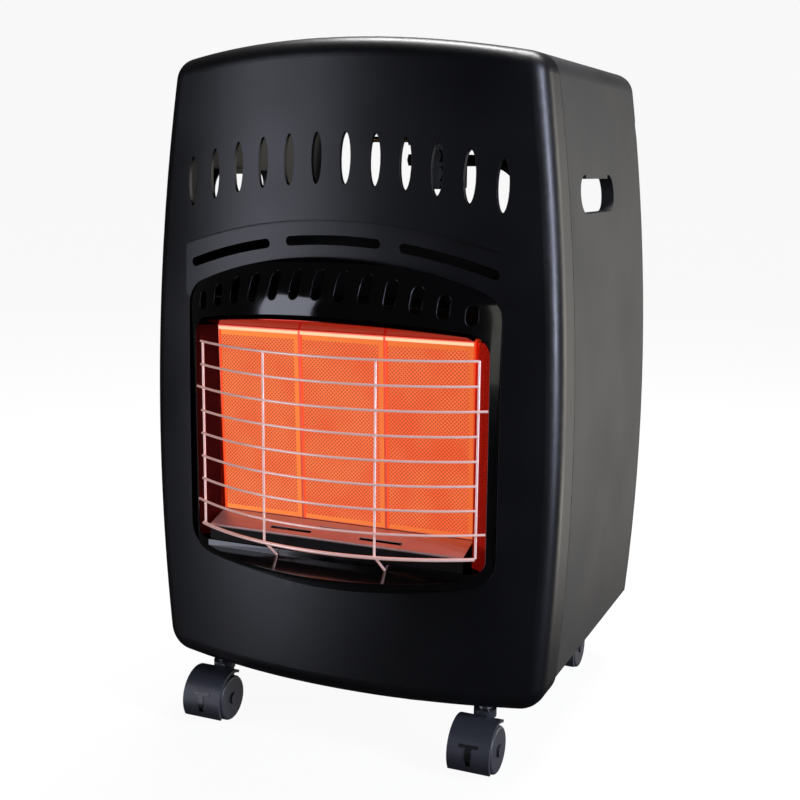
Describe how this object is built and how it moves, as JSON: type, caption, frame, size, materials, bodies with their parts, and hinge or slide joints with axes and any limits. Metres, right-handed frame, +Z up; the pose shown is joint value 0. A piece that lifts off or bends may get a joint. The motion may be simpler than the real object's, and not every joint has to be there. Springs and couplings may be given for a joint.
{
  "type": "portable gas cabinet heater",
  "caption": "Bowed steel cabinet heater on swivel casters, with ceramic radiant burners behind a wire guard and a lift-off cover over its cylinder bay.",
  "frame": {"origin": "on the floor, under the middle of the heater's outer box", "axes": "+X to the heater's right seen from the front, +Y to its back, +Z up"},
  "size_m": [0.467, 0.47, 0.74],
  "materials": {
    "aluminised": "aluminised steel",
    "brass": "turned brass",
    "button_plastic": "red moulded plastic",
    "caster_plastic": "black nylon",
    "chrome_wire": "bright chromed wire",
    "die_cast": "die cast",
    "front_paint": "satin black powder coat",
    "gasket_fibre": "ceramic fibre",
    "gloss_enamel": "gloss black enamel",
    "glowing_ceramic": "perforated ceramic, glowing",
    "hose_rubber": "black rubber hose",
    "insulator": "glazed alumina",
    "knob_plastic": "black moulded plastic",
    "side_paint": "matte charcoal powder coat",
    "stainless": "bright stainless sheet",
    "zinc_steel": "zinc plated steel"
  },
  "bodies": {
    "cabinet": {"base_panel": "side_paint", "burner_brackets": "zinc_steel", "burner_head_left": "aluminised", "burner_head_middle": "aluminised", "burner_head_right": "aluminised", "burner_pipe": "brass", "burner_surround": "gloss_enamel", "caster_nuts": "zinc_steel", "caster_stems": "zinc_steel", "control_well": "side_paint", "front_panel": "front_paint", "gas_hose": "hose_rubber", "gas_manifold": "brass", "gas_nozzles": "brass", "gas_regulator": "die_cast", "gas_valve": "die_cast", "heat_shield": "aluminised", "hose_clips": "zinc_steel", "igniter_body": "knob_plastic", "left_side_panel": "side_paint", "manifold_brackets": "zinc_steel", "partition": "aluminised", "pilot_bracket": "zinc_steel", "pilot_burner": "brass", "plaque_gaskets": "gasket_fibre", "plaque_left": "glowing_ceramic", "plaque_middle": "glowing_ceramic", "plaque_right": "glowing_ceramic", "rear_sill": "side_paint", "reflector_left": "gloss_enamel", "reflector_right": "gloss_enamel", "reflector_top": "gloss_enamel", "reflector_tray": "stainless", "regulator_hook": "zinc_steel", "right_side_panel": "side_paint", "spark_electrode": "insulator", "stem_spring": "zinc_steel", "thermocouple": "brass", "top_panel": "side_paint", "valve_bracket": "zinc_steel", "wire_guard": "chrome_wire"},
    "rear_cover": {"rear_cover": "side_paint"},
    "spring_seat": {"spring_seat": "zinc_steel"},
    "control_knob": {"control_knob": "knob_plastic", "valve_stem": "zinc_steel"},
    "igniter_button": {"igniter_button": "button_plastic"},
    "cylinder_nut": {"cylinder_nut": "knob_plastic"},
    "caster_front_left": {"caster_front_left_hood": "caster_plastic"},
    "caster_front_left_left_wheel": {"caster_front_left_left_wheel": "caster_plastic"},
    "caster_front_left_right_wheel": {"caster_front_left_right_wheel": "caster_plastic"},
    "caster_front_right": {"caster_front_right_hood": "caster_plastic"},
    "caster_front_right_left_wheel": {"caster_front_right_left_wheel": "caster_plastic"},
    "caster_front_right_right_wheel": {"caster_front_right_right_wheel": "caster_plastic"},
    "caster_rear_left": {"caster_rear_left_hood": "caster_plastic"},
    "caster_rear_left_left_wheel": {"caster_rear_left_left_wheel": "caster_plastic"},
    "caster_rear_left_right_wheel": {"caster_rear_left_right_wheel": "caster_plastic"},
    "caster_rear_right": {"caster_rear_right_hood": "caster_plastic"},
    "caster_rear_right_left_wheel": {"caster_rear_right_left_wheel": "caster_plastic"},
    "caster_rear_right_right_wheel": {"caster_rear_right_right_wheel": "caster_plastic"}
  },
  "joints": [
    {"name": "rear_cover_lift", "type": "slide", "parent": "cabinet", "child": "rear_cover", "axis": [0, 0, 1], "range_m": [0, 0.02]},
    {"name": "knob_push", "type": "slide", "parent": "cabinet", "child": "spring_seat", "axis": [0, 0, -1], "range_m": [0, 0.004], "stiffness_N_per_m": 900, "springref_m": -0.002, "deforming": ["stem_spring"]},
    {"name": "knob_turn", "type": "hinge", "parent": "spring_seat", "child": "control_knob", "pos_m": [0.062, -0.06, 0.7], "axis": [0, 0, 1], "range_deg": [0, 180]},
    {"name": "igniter_push", "type": "slide", "parent": "cabinet", "child": "igniter_button", "axis": [0, 0, -1], "range_m": [0, 0.004], "stiffness_N_per_m": 600, "springref_m": -0.002},
    {"name": "cylinder_nut_turn", "type": "hinge", "parent": "cabinet", "child": "cylinder_nut", "pos_m": [0.1975, 0.078, 0.22], "axis": [0, 0, 1], "continuous": true},
    {"name": "caster_front_left_swivel", "type": "hinge", "parent": "cabinet", "child": "caster_front_left", "pos_m": [-0.1576, -0.149, 0.05], "axis": [0, 0, 1], "continuous": true},
    {"name": "caster_front_left_left_roll", "type": "hinge", "parent": "caster_front_left", "child": "caster_front_left_left_wheel", "pos_m": [-0.1576, -0.17, 0.025], "axis": [1, 0, 0], "continuous": true},
    {"name": "caster_front_left_right_roll", "type": "hinge", "parent": "caster_front_left", "child": "caster_front_left_right_wheel", "pos_m": [-0.1576, -0.17, 0.025], "axis": [1, 0, 0], "continuous": true},
    {"name": "caster_front_right_swivel", "type": "hinge", "parent": "cabinet", "child": "caster_front_right", "pos_m": [0.1576, -0.149, 0.05], "axis": [0, 0, 1], "continuous": true},
    {"name": "caster_front_right_left_roll", "type": "hinge", "parent": "caster_front_right", "child": "caster_front_right_left_wheel", "pos_m": [0.1576, -0.17, 0.025], "axis": [1, 0, 0], "continuous": true},
    {"name": "caster_front_right_right_roll", "type": "hinge", "parent": "caster_front_right", "child": "caster_front_right_right_wheel", "pos_m": [0.1576, -0.17, 0.025], "axis": [1, 0, 0], "continuous": true},
    {"name": "caster_rear_left_swivel", "type": "hinge", "parent": "cabinet", "child": "caster_rear_left", "pos_m": [-0.1576, 0.165, 0.05], "axis": [0, 0, 1], "continuous": true},
    {"name": "caster_rear_left_left_roll", "type": "hinge", "parent": "caster_rear_left", "child": "caster_rear_left_left_wheel", "pos_m": [-0.1576, 0.144, 0.025], "axis": [1, 0, 0], "continuous": true},
    {"name": "caster_rear_left_right_roll", "type": "hinge", "parent": "caster_rear_left", "child": "caster_rear_left_right_wheel", "pos_m": [-0.1576, 0.144, 0.025], "axis": [1, 0, 0], "continuous": true},
    {"name": "caster_rear_right_swivel", "type": "hinge", "parent": "cabinet", "child": "caster_rear_right", "pos_m": [0.1576, 0.165, 0.05], "axis": [0, 0, 1], "continuous": true},
    {"name": "caster_rear_right_left_roll", "type": "hinge", "parent": "caster_rear_right", "child": "caster_rear_right_left_wheel", "pos_m": [0.1576, 0.144, 0.025], "axis": [1, 0, 0], "continuous": true},
    {"name": "caster_rear_right_right_roll", "type": "hinge", "parent": "caster_rear_right", "child": "caster_rear_right_right_wheel", "pos_m": [0.1576, 0.144, 0.025], "axis": [1, 0, 0], "continuous": true}
  ]
}
